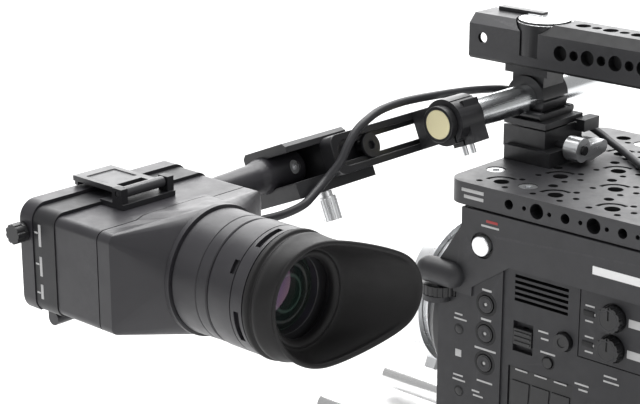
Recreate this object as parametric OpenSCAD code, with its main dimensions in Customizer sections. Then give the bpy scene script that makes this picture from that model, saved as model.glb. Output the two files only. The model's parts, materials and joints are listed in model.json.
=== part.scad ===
// Shoulder-height digital cinema camera with a cheese plate, a quick-release top handle
// and an electronic viewfinder hung from a cross rod on a slotted arm.
// Frame: +Y is the lens direction, +X the camera's right side, +Z up.
// Origin: the tripod hole in the underside of the base plate.

/* [Camera body] */
// Half the width of the body over its side covers
body_half_w = 70; // [68:1:74]
// Height of the body's floor above the base plate's underside
body_floor = 36; // [34:1:38]
// Height of the body's roof
body_roof = 178; // [176:0.5:178]
// Front face of the body
body_front = 104; // [102:1:105]
// Rear face of the body
body_rear = -124; // [-150:1:-115]
// Height of the lens axis
lens_z = 100; // [98:1:102]

/* [Base] */
// Half the width of the base plate
base_half_w = 50; // [46:1:60]
// Half the spacing of the two lens support rods
rod_half_pitch = 30; // [30:1:30]
// Height of the lens support rods
base_rod_z = 15; // [14:1:16]
// Radius of every support rod
rod_r = 7.5; // [7.5:0.1:7.5]

/* [Top plate and handle] */
// Underside of the cheese plate
plate_z = 179; // [179:0.5:180]
// Thickness of the cheese plate
plate_t = 12; // [10:1:12]
// Half the width of the handle bar
handle_half_w = 14; // [12:0.5:15]
// Front end of the handle bar
handle_front = 130; // [126:1:136]
// Rear end of the handle bar
handle_rear = -60; // [-90:1:-40]

/* [Viewfinder arm] */
// Position of the cross rod along the camera
cross_y = 94; // [93:0.5:95]
// Height of the cross rod
cross_z = 223; // [222:0.5:224]
// How far the arm leans forward and down from level
arm_lean = 23; // [20:1:26]
// Left end of the slotted arm
arm_left = -142; // [-144:1:-138]
// Right end of the slotted arm
arm_right = -60; // [-61:1:-58]

/* [Viewfinder] */
// Centre of the eyepiece across the camera
eye_x = -265; // [-270:1:-260]
// Height of the eyepiece axis
eye_z = 201; // [200:0.5:202]
// Width of the display housing
lcd_w = 90; // [86:1:94]
// Height of the display housing
lcd_h = 50; // [48:1:52]
// Radius of the eyepiece barrel
barrel_r = 26.8; // [26:0.1:27]
// Diameter of the viewfinder cable
cable_d = 4.2; // [3.6:0.2:4.4]

/* [Hidden] */
$fn = 64;

// Fits between pieces
run = 0.05;     // radial clearance of a shaft that turns or slides
loose = 0.3;    // clearance round a button or beside a moving face
eps = 0.1;      // overshoot of a cut
hull_fn = 32;   // sides of a round child of a hull
thread_3_8 = 4; // radius of a tapped 3/8 inch hole
thread_1_4 = 2.6; // radius of a tapped 1/4 inch hole

// Body walls and faces
wall = 4;
cover_in = -body_half_w + 8;  // inner face of the left cover
cover_out = -body_half_w;     // outer face of the left cover's upper band
panel_out = -body_half_w + 2; // outer face of its lower control panel
strip_out = -body_half_w + 1; // outer face of the button strip
brow_z = 144;                 // where the front face starts to slant back
brow_top = 168;               // where the slant ends
brow_back = 15.4;             // how far it goes back
body_side = [
    [body_rear, body_floor], [body_front, body_floor], [body_front, brow_z],
    [body_front - brow_back, brow_top], [body_front - brow_back, body_roof],
    [body_rear, body_roof]];

// Controls on the left cover, as [y, z]
assign_y = 72;
assign_z = [128.6, 112.5, 96];
rec_at = [75, 160];
menu_at = [33, 107];
jog_at = [24, 121];
toggle_at = [49, 116];
knob_a_at = [-4, 141];
knob_b_at = [-4, 125];
press = 1.2; // travel of a button

// Filter dial at the front left corner
dial_x = -66;
dial_y = 104;
dial_z = 127.4;
dial_t = 5.2;
dial_r = 11;
pod_z = 140;
pod_r = 7;

// Filter turret behind the lens mount
turret_x = -21;
turret_z = 84;
turret_r = 39;
turret_y = 91.5;
turret_t = 3;
filter_r = 11;
filter_arm = sqrt(pow(turret_x, 2) + pow(lens_z - turret_z, 2));
filter_start = atan2(lens_z - turret_z, -turret_x);

// Fan on the right wall
fan_y = -60;
fan_z = 108;
fan_r = 22;

// Lens mount
mount_y = 150;   // flange face
flange_back = 134;
throat_r = 27;   // bore a lens barrel goes into
flange_r = 35;

// Top plate
plate_top = plate_z + plate_t;
plate_front = 100;
plate_rear = -100;
plate_corner = 10;
screw_spots = [[-40, 90], [40, 90], [-53, 60], [53, 60], [-53, -85], [53, -85]];
through_plate = [plate_z - eps, plate_top + eps];
// Lattice of tapped holes: columns across the plate, every second one offset by half a row
column_pitch = 28;
row_pitch = 33.4;
even_rows = [for (i = [-2:2]) 7.7 + i * row_pitch];
odd_rows = [for (i = [-3:1]) 24.4 + i * row_pitch];
pin_r = 1.7;
edge_depth = 8; // depth of the tapped holes in the plate's edges

// Quick-release clamp and handle
clamp_top = 213;
lever_x = -5;
lever_z = 199.5;
handle_z = 240;
handle_h = 24;
drum_y = 91;
drum_r = 14.4;
drum_floor = 246;

// Tilt axis of the viewfinder, in the row frame and in the arm's own frame
tilt_y = 138;
tilt_z = 205;
tilt_reach = (tilt_y - cross_y) * cos(arm_lean) - (tilt_z - cross_z) * sin(arm_lean);
tilt_up = (tilt_y - cross_y) * sin(arm_lean) + (tilt_z - cross_z) * cos(arm_lean);
arm_near = 19;  // the arm's face towards the rod
arm_far = 27;   // its other face
arm_half_h = 10;
slot_left = -136;
slot_right = -66;
rod_left = -80;             // left end of the cross rod, at its cap
clamp_span = [-79.7, -62];  // the arm's clamp along the rod
clamp_screw_x = [-71, -65];
bolt_x = -114;
screw_x = -140;
screw_reach = 34;
block_low = -15;
boss_r = 9;

// Display and loupe
lcd_back = 143;
lcd_front = 132;
frame_front = 118;
hinge_z = 172.2;
hinge_y = 132;
knuckle_r = 3.2;
hinge_pin_r = 1.5;
hood_w = 88;
hood_h = 44;
hood_face = 84;
barrel_back = 68;
seam_y = 51.5;
ring_back = 45.3;
ring_front = 25;
cell_front = 24;
cup_hole_r = 17;
spigot_r = 23.5;
spigot_front = 20;
cell_r = 21.4;
latch_x = -268;
latch_w = 22;
latch_y = 108;
latch_z = 229.6;

// The cable's route, from the viewfinder's plug to the camera's plug
route_evf = [[-198, 137, 186], [-192, 136, 186], [-186, 131, 187], [-180, 124, 189.5],
    [-173, 116, 192.5], [-165, 110.5, 196.5], [-157, 110, 201], [-149, 110, 206]];
route_slider = [[-149, 110, 206], [-142, 107.5, 213.5], [-137, 107, 221], [-131, 107, 227]];
route_arm = [[-131, 107, 227], [-124, 106.5, 231], [-115, 107, 233.5], [-104, 108, 234.2],
    [-92, 109, 234], [-78, 110, 233], [-62, 111, 231.5]];
route_rod = [[-62, 111, 231.5], [-50, 111.5, 230.3], [-36, 112, 228.7], [-20, 112, 226.5],
    [-6, 112, 224]];
route_camera = [[-6, 112, 224], [6, 111.5, 220.5], [17, 106, 215], [25, 96, 209.3],
    [29, 84, 203.9], [30.3, 74, 199.6], [29.5, 65.5, 196], [26, 56, 194], [21, 48, 193.4],
    [15, 40, 193.3], [8, 31, 193.3], [1, 21, 193.3], [-5, 10, 193.3], [-9, -3, 193.3],
    [-12, -18, 193.3], [-14, -34, 193.3], [-16, -50, 193.3], [-17.5, -67, 193.3],
    [-19, -84, 193.3], [-20, -100.5, 193.3]];
cable_sides = 8;

// Span of half length h about c
function about(c, h) = [c - h, c + h];

// Lower end of a plate screw: the front pair only reaches into the bosses
function screw_foot(spot) = spot[1] > 85 ? plate_z - 1.5 : body_roof - 8;

// Placing helpers: boxes and cylinders given by their own extents
module block(x, y, z) {
    translate([x[0], y[0], z[0]]) cube([x[1] - x[0], y[1] - y[0], z[1] - z[0]]);
}
module x_rod(r, x, y, z) {
    translate([x[0], y, z]) rotate([0, 90, 0]) cylinder(r = r, h = x[1] - x[0]);
}
module y_rod(r, y, x, z) {
    translate([x, y[0], z]) rotate([-90, 0, 0]) cylinder(r = r, h = y[1] - y[0]);
}
module z_rod(r, z, x, y) {
    translate([x, y, z[0]]) cylinder(r = r, h = z[1] - z[0]);
}
// Side outline in [y, z], extruded across x
module side_plate(x, points) {
    translate([x[0], 0, 0]) rotate([90, 0, 90]) linear_extrude(x[1] - x[0]) polygon(points);
}
// Front outline in [x, z], extruded along y
module front_plate(y) {
    translate([0, y[1], 0]) rotate([90, 0, 0]) linear_extrude(y[1] - y[0]) children();
}
// Outline of [radius, y] turned about the lens direction at [x, z]
module y_turned(x, z, points) {
    translate([x, 0, z]) rotate([-90, 0, 0]) rotate_extrude() polygon(points);
}
// Outline of [radius, x] turned about the cross direction at [y, z]
module x_turned(y, z, points) {
    translate([0, y, z]) rotate([0, 90, 0]) rotate_extrude() polygon(points);
}
module rounded(w, h, r) {
    square([w - 2 * r, h], center = true);
    square([w, h - 2 * r], center = true);
    for (sx = [-1, 1], sz = [-1, 1])
        translate([sx * (w / 2 - r), sz * (h / 2 - r)]) circle(r = r);
}
// The arm's own frame: y is the reach from the cross rod's axis, z is up along the arm
module arm_frame() {
    translate([0, cross_y, cross_z]) rotate([-arm_lean, 0, 0]) children();
}

// ---- Base ----
module base_plate() {
    color("#26262a") difference() {
        union() {
            block([-base_half_w, base_half_w], [-95, 95], [0, 24]);
            block([-34, 34], [-85, 85], [24, body_floor]);
        }
        for (s = [-1, 1]) {
            y_rod(rod_r + run, [-96, 96], s * rod_half_pitch, base_rod_z);
            block([s * rod_half_pitch - 1 + s * 12, s * rod_half_pitch + 1 + s * 12],
                [-96, 96], [-eps, 8]);
        }
        z_rod(thread_3_8, [-eps, 12], 0, 0);
        for (y = [-30, 30]) z_rod(thread_1_4, [-eps, 12], 0, y);
    }
}
module base_rods() {
    color("#d8dadc") for (s = [-1, 1]) difference() {
        y_rod(rod_r, [-80, 220], s * rod_half_pitch, base_rod_z);
        y_rod(4.5, [208, 221], s * rod_half_pitch, base_rod_z);
    }
}

// ---- Camera body ----
module dial_pocket() {
    z_rod(dial_r + 0.6, [dial_z - 0.4, dial_z + dial_t + 0.4], dial_x, dial_y);
}
module chassis() {
    inner = [
        [body_rear + 6, body_floor + wall], [body_front - 6, body_floor + wall],
        [body_front - 6, brow_z - 3], [body_front - brow_back - 6, brow_top - 3],
        [body_front - brow_back - 6, body_roof - wall], [body_rear + 6, body_roof - wall]];
    color("#3c3c40") difference() {
        union() {
            difference() {
                side_plate([cover_in, body_half_w], concat(
                    [[body_rear + 6, body_floor]], [for (i = [1:4]) body_side[i]],
                    [[body_rear + 6, body_roof]]));
                side_plate([cover_in - eps, body_half_w - wall], [for (i = [0:5])
                    i == 0 || i == 5 ? inner[i] - [eps, 0] : inner[i]]);
            }
            for (spot = screw_spots) z_rod(7, [body_roof - 1, plate_z], spot[0], spot[1]);
            // axle of the filter turret, on the front wall
            y_rod(2.5, [turret_y - 2, body_front - 5], turret_x, turret_z);
            // fan spindle and its spider on the right wall
            x_rod(2, [48, body_half_w - 2], fan_y, fan_z);
            // rails for the circuit board
            for (x = [-51, -44.4], z = [body_floor + wall - 1, body_roof - wall - 3])
                block([x, x + 2.9], [-100, 60], [z, z + 4]);
        }
        for (spot = screw_spots)
            z_rod(2.05, [screw_foot(spot) - 1, plate_z + eps], spot[0], spot[1]);
        y_rod(30, [body_front - 7, body_front + eps], 0, lens_z);
        dial_pocket();
        // air outlet slots in the right wall, behind the fan
        for (i = [-4:4])
            block([body_half_w - 5, body_half_w + eps], [fan_y + i * 5 - 1.2, fan_y + i * 5 + 1.2],
                i == 0 ? [fan_z + 4, fan_z + 20] : [fan_z - 20, fan_z + 20]);
    }
}
module left_cover() {
    band = [[body_rear, 152], [58, 152], [81, 136], [81, 131], [body_front, 131],
        [body_front, brow_z], [body_front - brow_back, brow_top],
        [body_front - brow_back, body_roof], [body_rear, body_roof]];
    color("#56565a") difference() {
        union() {
            side_plate([panel_out, cover_in], body_side);
            side_plate([cover_out, panel_out + eps], band);
            // raised strip that carries the three round buttons
            side_plate([strip_out, panel_out + eps],
                [[62, 44], [81, 44], [81, 136.5], [62, 149.7]]);
            // filter dial housing: a rounded bar above the dial and a shelf below it
            y_rod(pod_r, [93, 108], -71, pod_z);
            for (y = [93, 108]) translate([-71, y, pod_z]) sphere(r = pod_r);
            z_rod(2, [123, 136], dial_x, dial_y);
            z_rod(8, [124, 127], dial_x - 3, dial_y);
        }
        // the slanted and front faces keep the lens mount clear
        block([cover_in, cover_in + 10], [90, 120], [120, 150]);
        difference() {
            dial_pocket();
            z_rod(2, [120, 140], dial_x, dial_y);
        }
        // buttons, dials and the record stud
        for (z = assign_z) x_rod(5, [cover_out - eps, cover_in + eps], assign_y, z);
        x_rod(5.3 + loose, [cover_out - eps, cover_in + eps], rec_at[0], rec_at[1]);
        x_rod(7, [cover_out - eps, cover_out + 1], rec_at[0], rec_at[1]);
        x_rod(2.8 + loose, [cover_out - eps, cover_in + eps], menu_at[0], menu_at[1]);
        for (at = [knob_a_at, knob_b_at]) {
            x_rod(2 + run, [cover_out - eps, cover_in + eps], at[0], at[1]);
            x_rod(7.4, [cover_out - eps, panel_out + 1], at[0], at[1]);
        }
        x_rod(1.5 + run, [cover_out - eps, cover_in + eps], jog_at[0], jog_at[1]);
        x_rod(5.4, [cover_out - eps, panel_out + 1.5], jog_at[0], jog_at[1]);
        // window of the slide switch, with its stem slot
        block([cover_out - eps, panel_out + 3], about(toggle_at[0], 6.2),
            about(toggle_at[1], 8.2));
        block([cover_out - eps, cover_in + eps], about(toggle_at[0], 1.5),
            about(toggle_at[1], 5));
        // loudspeaker grille
        for (i = [0:4])
            block([cover_out - eps, panel_out + 4], [22.5, 55], [135 + i * 3.1, 136.7 + i * 3.1]);
        // recess of the flat key strip and the joint lines of the audio panel
        block([cover_out - eps, panel_out + 1.6], [18, 57.5], [76, 99]);
        block([cover_out - eps, panel_out + 0.6], [15.2, 15.8], [116, 151]);
        block([cover_out - eps, panel_out + 0.6], [-60, 15.8], [115.4, 116]);
    }
}
module rear_panel() {
    color("#2f2f33") difference() {
        union() {
            block([cover_in, body_half_w], [body_rear, body_rear + 6], [body_floor, body_roof]);
            // two rails that a battery plate screws to
            for (x = [-30, 30]) block([x - 4, x + 4], [body_rear - 3, body_rear + eps], [60, 150]);
        }
        for (x = [-30, 30], z = [70, 140]) y_rod(1.7, [body_rear - 4, body_rear + 7], x, z);
    }
}
module mount_block() {
    color("#1d1d20") y_turned(0, lens_z, [
        [29.5, body_front], [50, body_front], [50, 122], [47, 126], [40, flange_back],
        [29.5, flange_back]]);
}
module mount_flange() {
    color("#c9cbce") difference() {
        y_turned(0, lens_z, [[throat_r, flange_back], [39, flange_back],
            [39, flange_back + 4], [flange_r, flange_back + 4],
            [flange_r, mount_y - 1], [flange_r - 1, mount_y], [throat_r, mount_y]]);
        // four screws hold the flange
        for (a = [45:90:315])
            y_rod(1.6, [mount_y - 4, mount_y + 1], 31 * cos(a), lens_z + 31 * sin(a));
    }
}
module locking_ring() {
    color("#d3d5d8") difference() {
        union() {
            y_turned(0, lens_z, [[flange_r + run, mount_y - 11.7], [42.5, mount_y - 11.7],
                [42.5, mount_y - 2.5], [41.5, mount_y - 1.5], [flange_r + run, mount_y - 1.5]]);
            for (a = [25:90:295]) translate([0, 0, lens_z]) rotate([0, a, 0])
                block([41, 48], [mount_y - 10, mount_y - 3], [-6, 6]);
        }
        for (a = [25:90:295]) translate([0, 0, lens_z]) rotate([0, a, 0])
            block([46, 49], [mount_y - 11, mount_y - 2], [-3, 3]);
    }
}
module sensor_module() {
    color("#2d5a3a") difference() {
        union() {
            block([-24, 24], [80, 83], [78, 122]);
            block([-16, 16], [83, 87], [88, 112]);
            // two ribs carry the carrier from the roof
            for (s = [-1, 1]) block([s * 22 - 2, s * 22 + 2], [76, 80], [78, body_roof - wall]);
        }
        block([-13.5, 13.5], [86, 88], [91, 109]);
    }
}
module filter_positions() {
    for (i = [0:3]) {
        a = filter_start + i * 90;
        translate([turret_x + filter_arm * cos(a), 0, turret_z + filter_arm * sin(a)]) children();
    }
}
module filter_turret() {
    color("#1a1a1c") difference() {
        y_rod(turret_r, [turret_y, turret_y + turret_t], turret_x, turret_z);
        y_rod(2.5 + run, [turret_y - 1, turret_y + 5], turret_x, turret_z);
        filter_positions() y_rod(filter_r + run, [turret_y - 1, turret_y + 5], 0, 0);
    }
}
module filter_glasses() {
    color("#5a6a70") filter_positions()
        y_rod(filter_r, [turret_y + 0.5, turret_y + turret_t - 0.5], 0, 0);
}
module main_board() {
    color("#1f6b3a") union() {
        block([-48, -46.4], [-100, 60], [body_floor + wall, body_roof - wall]);
        block([-46.4, -42], [-20, 15], [90, 125]);
        for (i = [0:3]) block([-46.4, -44], [-90 + i * 16, -80 + i * 16], [60, 72]);
    }
}
module fan_rotor() {
    color("#202022") difference() {
        union() {
            x_rod(9, [50, 58], fan_y, fan_z);
            for (i = [0:6]) translate([0, fan_y, fan_z]) rotate([i * 360 / 7, 0, 0])
                translate([54, 0, 14]) rotate([0, 0, 35]) cube([1.4, 9, 14], center = true);
        }
        x_rod(2 + run, [49, 59], fan_y, fan_z);
    }
}

// ---- Cheese plate ----
module plate_outline() {
    translate([0, (plate_front + plate_rear) / 2])
        rounded(2 * body_half_w - 2, plate_front - plate_rear, plate_corner);
}
// Curved slot round the right front of a hole
module arc_slot(x, y) {
    translate([x, y, through_plate[0]]) linear_extrude(plate_t + 2 * eps) intersection() {
        difference() {
            circle(r = 9.5);
            circle(r = 7.3);
        }
        polygon(concat([[0, 0]], [for (a = [-22, 17, 56, 95]) 13 * [cos(a), sin(a)]]));
    }
}
// One group of the lattice: a tapped 3/8 inch hole with its smaller holes and its slot
module hole_group(x, y, right_edge) {
    z_rod(thread_3_8, through_plate, x, y);
    for (d = [[-5.6, 9.8], [-6.4, -7]]) z_rod(pin_r, through_plate, x + d[0], y + d[1]);
    if (y < 70) z_rod(pin_r, through_plate, x + 1.6, y - 11.2);
    if (!right_edge) {
        z_rod(pin_r, through_plate, x + 10.3, y - 5.5);
        arc_slot(x, y);
        if (y < 70) z_rod(thread_1_4, through_plate, x + 12, y + 10);
    }
}
module top_plate() {
    color("#37373b") difference() {
        translate([0, 0, plate_z]) linear_extrude(plate_t) plate_outline();
        for (spot = screw_spots) {
            z_rod(2.05, through_plate, spot[0], spot[1]);
            z_rod(5.1, [plate_top - 4, plate_top + eps], spot[0], spot[1]);
        }
        for (i = [-2:2]) for (y = i % 2 == 0 ? even_rows : odd_rows)
            if (i != 0 || y < 70) hole_group(i * column_pitch, y, i == 2);
        // tapped holes and locating pin holes along both edges
        for (s = [-1, 1]) {
            edge = s * (body_half_w - 1);
            bore = s < 0 ? [edge - eps, edge + edge_depth] : [edge - edge_depth, edge + eps];
            pin = s < 0 ? [edge - eps, edge + 3] : [edge - 3, edge + eps];
            for (y = [60, 26, -7, -40, -73]) x_rod(thread_1_4, bore, y, plate_z + plate_t / 2);
            for (y = [43, 9.5, -23, -56]) {
                x_rod(thread_3_8, bore, y, plate_z + plate_t / 2);
                for (p = [-7.6, 7.6]) x_rod(1.2, pin, y + p, plate_z + plate_t / 2);
            }
        }
    }
}
module cap_screws() {
    color("#c4c6c9") for (spot = screw_spots) difference() {
        union() {
            z_rod(2, [screw_foot(spot), plate_top - 2], spot[0], spot[1]);
            z_rod(5, [plate_top - 4, plate_top - 0.4], spot[0], spot[1]);
        }
        translate([spot[0], spot[1], plate_top - 2.6]) cylinder(r = 2.3, h = 3, $fn = 6);
    }
}

// ---- Quick-release clamp, riser and handle ----
module clamp_block() {
    color("#19191b") difference() {
        union() {
            block([-21, 21], [70, 99.5], [plate_top, plate_top + 8]);
            block([-17, 17], [76, 103], [plate_top + 6, clamp_top]);
            // ear on the right that the lever's cam pulls against
            block([10, 24], [70, 76.5], [204.5, 211]);
            y_rod(2.5, [58.5, 77], lever_x, lever_z);
        }
        // mouth between the fixed and the moving jaw
        block([16, 22], [69, 100], [plate_top + 3, plate_top + 5]);
        block([-18, 18], [75, 104], [clamp_top - 4.2, clamp_top - 3.4]);
    }
}
module lock_lever() {
    color("#dcdddf") difference() {
        union() {
            y_rod(6.5, [60, 68.5], lever_x, lever_z);
            hull() {
                y_rod(5.5, [61, 68], lever_x, lever_z, $fn = hull_fn);
                y_rod(4.6, [60, 67], lever_x + 9, lever_z - 2.4, $fn = hull_fn);
            }
            hull() {
                y_rod(4.6, [60, 67], lever_x + 9, lever_z - 2.4, $fn = hull_fn);
                y_rod(3.6, [58, 64], lever_x + 16, lever_z - 0.5, $fn = hull_fn);
            }
        }
        y_rod(2.5 + run, [57, 70], lever_x, lever_z);
    }
}
module riser() {
    color("#1c1c1f") difference() {
        union() {
            block([-9, 9], [84, 104], [clamp_top, handle_z]);
            block([-13.5, 13.5], [81, 105], [clamp_top, clamp_top + 3.6]);
            for (s = [-1, 1]) y_rod(2.2, [81, 105], s * 13.5, clamp_top + 2.4);
            x_rod(12, [-11, 11], cross_y, cross_z);
            block([-12, 12], [80, 107], [handle_z - 4, handle_z]);
        }
        x_rod(rod_r + run, [-17, 17], cross_y, cross_z);
        // the round collar stops at the top of the clamp
        block([-13, 13], [80, 108], [clamp_top - 3, clamp_top]);
        // clamping slit of the rod bore, with its screw hole
        block([-12, 12], [79, 88], [cross_z - 0.6, cross_z + 0.6]);
    }
}
module handle_outline() {
    w = handle_half_w;
    top = handle_z + handle_h;
    polygon([[-w, handle_z + 1.5], [-w + 1.5, handle_z], [w - 1.5, handle_z],
        [w, handle_z + 1.5], [w, top - 5], [w - 5, top], [-w + 5, top], [-w, top - 5]]);
}
module handle() {
    pitch = 8.34;
    color("#2a2a2e") difference() {
        front_plate([handle_rear, handle_front]) handle_outline();
        z_rod(drum_r + 0.7, [drum_floor, handle_z + handle_h + 1], 0, drum_y);
        // alternating tapped holes along the sides and the top
        for (i = [0:14]) {
            y = 71 - i * pitch;
            r = i % 2 == 0 ? thread_3_8 : thread_1_4;
            for (s = [-1, 1]) x_rod(r, s < 0 ? [-handle_half_w - eps, -handle_half_w + 5]
                : [handle_half_w - 5, handle_half_w + eps], y, handle_z + 11);
            z_rod(r, [handle_z + handle_h - 6, handle_z + handle_h + eps], 0, y - 4.2);
        }
        // hollow nose, open at the front, with a hole in its thin left wall
        // and a tapped hole in its right wall
        block([-11.6, 4], [110, handle_front + eps], [244, 258.5]);
        x_rod(2.9, [-handle_half_w - eps, -11], 121, 252);
        x_rod(thread_1_4, [3.9, handle_half_w + eps], 121, 252);
    }
}
module handle_cap() {
    color("#cfd1d4") union() {
        z_rod(drum_r, [drum_floor, handle_z + handle_h - 1], 0, drum_y);
        z_rod(drum_r - 0.6, [handle_z + handle_h - 1.2, handle_z + handle_h + 0.6], 0, drum_y);
        // thin lock tab along the nose's right edge
        block([3.5, 8.5], [drum_y + 4, 124], [handle_z + handle_h, handle_z + handle_h + 2.2]);
    }
}

// ---- Controls on the left side ----
module side_button(at, r, proud, flange = 1.2) {
    x_rod(r, [proud, cover_in + 1], at[0], at[1]);
    x_rod(r + flange, [cover_in + 0.15, cover_in + 1.6], at[0], at[1]);
}
module assign_button(i) {
    color("#2a2a2d") difference() {
        side_button([assign_y, assign_z[i]], 4.6, strip_out - 0.6);
        x_rod(1, [strip_out - 1, strip_out - 0.3], assign_y, assign_z[i]);
    }
}
module rec_button() {
    color("#dfe0e2") side_button(rec_at, 5.3, cover_out - 2);
}
module menu_button() {
    color("#333336") side_button(menu_at, 2.8, panel_out - 1);
}
module jog_dial() {
    color("#1f1f22") difference() {
        union() {
            x_rod(4.6, [panel_out - 2.6, panel_out + 1.2], jog_at[0], jog_at[1]);
            x_rod(1.5, [panel_out, cover_in + 1], jog_at[0], jog_at[1]);
            x_rod(3, [cover_in + 0.2, cover_in + 1.6], jog_at[0], jog_at[1]);
        }
        x_rod(2.4, [panel_out - 3, panel_out - 2], jog_at[0], jog_at[1]);
    }
}
module toggle_switch() {
    color("#2b2b2e") union() {
        block([panel_out - 0.6, panel_out + 2.8], about(toggle_at[0], 5.6),
            about(toggle_at[1], 4.4));
        block([panel_out + 2, cover_in + 1], about(toggle_at[0], 1.2),
            about(toggle_at[1], 1.6));
        block([cover_in + 0.2, cover_in + 2], about(toggle_at[0], 3),
            about(toggle_at[1], 1.6));
        for (i = [-1:1]) block([panel_out - 1.2, panel_out], about(toggle_at[0], 5),
            about(toggle_at[1] + i * 2.6, 0.5));
    }
}
module level_knob(at) {
    color("#3a3a3e") difference() {
        union() {
            x_rod(6.6, [panel_out - 5, panel_out + 0.8], at[0], at[1]);
            x_rod(2, [panel_out, cover_in + 1], at[0], at[1]);
            x_rod(3.4, [cover_in + 0.2, cover_in + 1.6], at[0], at[1]);
        }
        block([panel_out - 5.5, panel_out - 4.4], about(at[0], 0.5), [at[1], at[1] + 7]);
        for (i = [0:11]) translate([0, at[0], at[1]]) rotate([i * 30 + 15, 0, 0])
            x_rod(0.7, [panel_out - 5.5, panel_out - 1], 0, 6.8);
    }
}
module nd_dial() {
    color("#2c2c30") difference() {
        z_rod(dial_r, [dial_z, dial_z + dial_t], dial_x, dial_y);
        z_rod(2 + run, [dial_z - 1, dial_z + 7], dial_x, dial_y);
        for (a = [0:15:345])
            z_rod(0.7, [dial_z - 1, dial_z + 7], dial_x + 11.3 * cos(a), dial_y + 11.3 * sin(a));
    }
}
module key_strip() {
    color("#1b1b1e") union() {
        block([panel_out + 0.8, panel_out + 1.6], [18.4, 57.1], [76.4, 98.6]);
        for (i = [0:2]) side_plate([panel_out + 0.1, panel_out + 1], [
            [20 + i * 12.4, 79], [31 + i * 12.4, 79], [30.4 + i * 12.4, 91.5],
            [19.4 + i * 12.4, 91.5]]);
    }
}
module camera_plug() {
    color("#232326") union() {
        z_rod(8, [body_roof, body_roof + 3], -20, -112);
        z_rod(6, [body_roof + 2, 199], -20, -112);
        y_rod(4.5, [-112, -105], -20, 193.3);
        y_turned(-20, 193.3, [[0, -106], [4.5, -106], [3.2, -100.5], [0, -100.5]]);
    }
}

// ---- Cross rod, slotted arm and slider ----
module cross_rod() {
    color("#d5d7da") x_rod(rod_r, [rod_left, 70], cross_y, cross_z);
}
module rod_cap() {
    color("#232325") difference() {
        x_rod(9.25, [rod_left - 4.6, rod_left], cross_y, cross_z);
        x_rod(7.6, [rod_left - 5, rod_left - 3.2], cross_y, cross_z);
    }
}
module cap_disc() {
    color("#f7f3dc") x_rod(7.5, [rod_left - 4.4, rod_left - 3.2], cross_y, cross_z);
}
module rod_clamp() {
    color("#222225") arm_frame() difference() {
        union() {
            x_rod(12, clamp_span, 0, 0);
            block(clamp_span, [-8, arm_near], [-9.5, 9.5]);
            block([-74, clamp_span[1]], [-11, 3], [-14, 8]);
        }
        x_rod(rod_r + run, [clamp_span[0] - 1, clamp_span[1] + 1], 0, 0);
        // clamping slit and its two screw holes
        block([clamp_span[0] - 1, clamp_span[1] + 1], [-5, -3.8], [-15, 0]);
        for (x = clamp_screw_x) z_rod(1.55, [-15, -9], x, -1);
        z_rod(1.6, [6, 13], -68, 2);
    }
}
module arm_plate() {
    color("#252529") arm_frame() difference() {
        translate([0, arm_far, 0]) rotate([90, 0, 0]) linear_extrude(arm_far - arm_near)
            translate([(arm_left + arm_right) / 2, 0])
                rounded(arm_right - arm_left, 2 * arm_half_h, 5);
        slot_cut(4, [arm_near - 1, arm_far + 1]);
        slot_cut(6.5, [arm_near - 1, arm_near + 2.5]);
        slot_cut(5.5, [arm_far - 0.8, arm_far + 1]);
    }
}
// Round-ended slot along the arm, of half height r, over a span of reach
module slot_cut(r, reach) {
    block([slot_left + 4, slot_right - 4], reach, [-r, r]);
    for (x = [slot_left + 4, slot_right - 4]) y_rod(r, reach, x, 0);
}
module clamp_screws() {
    color("#b9bbbe") arm_frame() for (x = clamp_screw_x) z_rod(1.5, [-19, -9.5], x, -1);
}
module slider_block() {
    upper = [[27.1, block_low], [56, block_low], [58, block_low + 2], [58, 11], [56, 13],
        [29.1, 13], [27.1, 11]];
    color("#212124") arm_frame() difference() {
        union() {
            side_plate([-164, -121], upper);
            side_plate([-122, -109], [[27.1, block_low], [46, block_low], [46, 5], [27.1, 5]]);
        }
        x_rod(boss_r + run, [-165, -141], tilt_reach, tilt_up);
        // the split front of the clamp leaves the boss in view
        block([-165, -141], [27, tilt_reach], [tilt_up - 7.5, tilt_up + 7.5]);
        z_rod(2 + run, [block_low - 1, -9.5], screw_x, screw_reach);
        y_rod(3 + run, [27, 40], bolt_x, 0);
    }
}
module slider_bolt() {
    color("#2a2a2d") arm_frame() difference() {
        union() {
            y_rod(6.1, [19.3, 21.3], bolt_x, 0);
            y_rod(3.9, [21.2, 27.1], bolt_x, 0);
            y_rod(3, [27, 38], bolt_x, 0);
        }
        translate([bolt_x, 19.2, 0]) rotate([-90, 0, 0]) cylinder(r = 2.4, h = 2.2, $fn = 6);
    }
}
module thumb_screw() {
    color("#cfd1d4") arm_frame() difference() {
        union() {
            z_rod(2, [block_low - 2, -10], screw_x, screw_reach);
            z_rod(3.4, [-18.5, block_low - 0.3], screw_x, screw_reach);
            z_rod(4.6, [-30, -18], screw_x, screw_reach);
        }
        for (a = [0:30:330])
            z_rod(0.5, [-31, -19], screw_x + 4.7 * cos(a), screw_reach + 4.7 * sin(a));
    }
}

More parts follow.
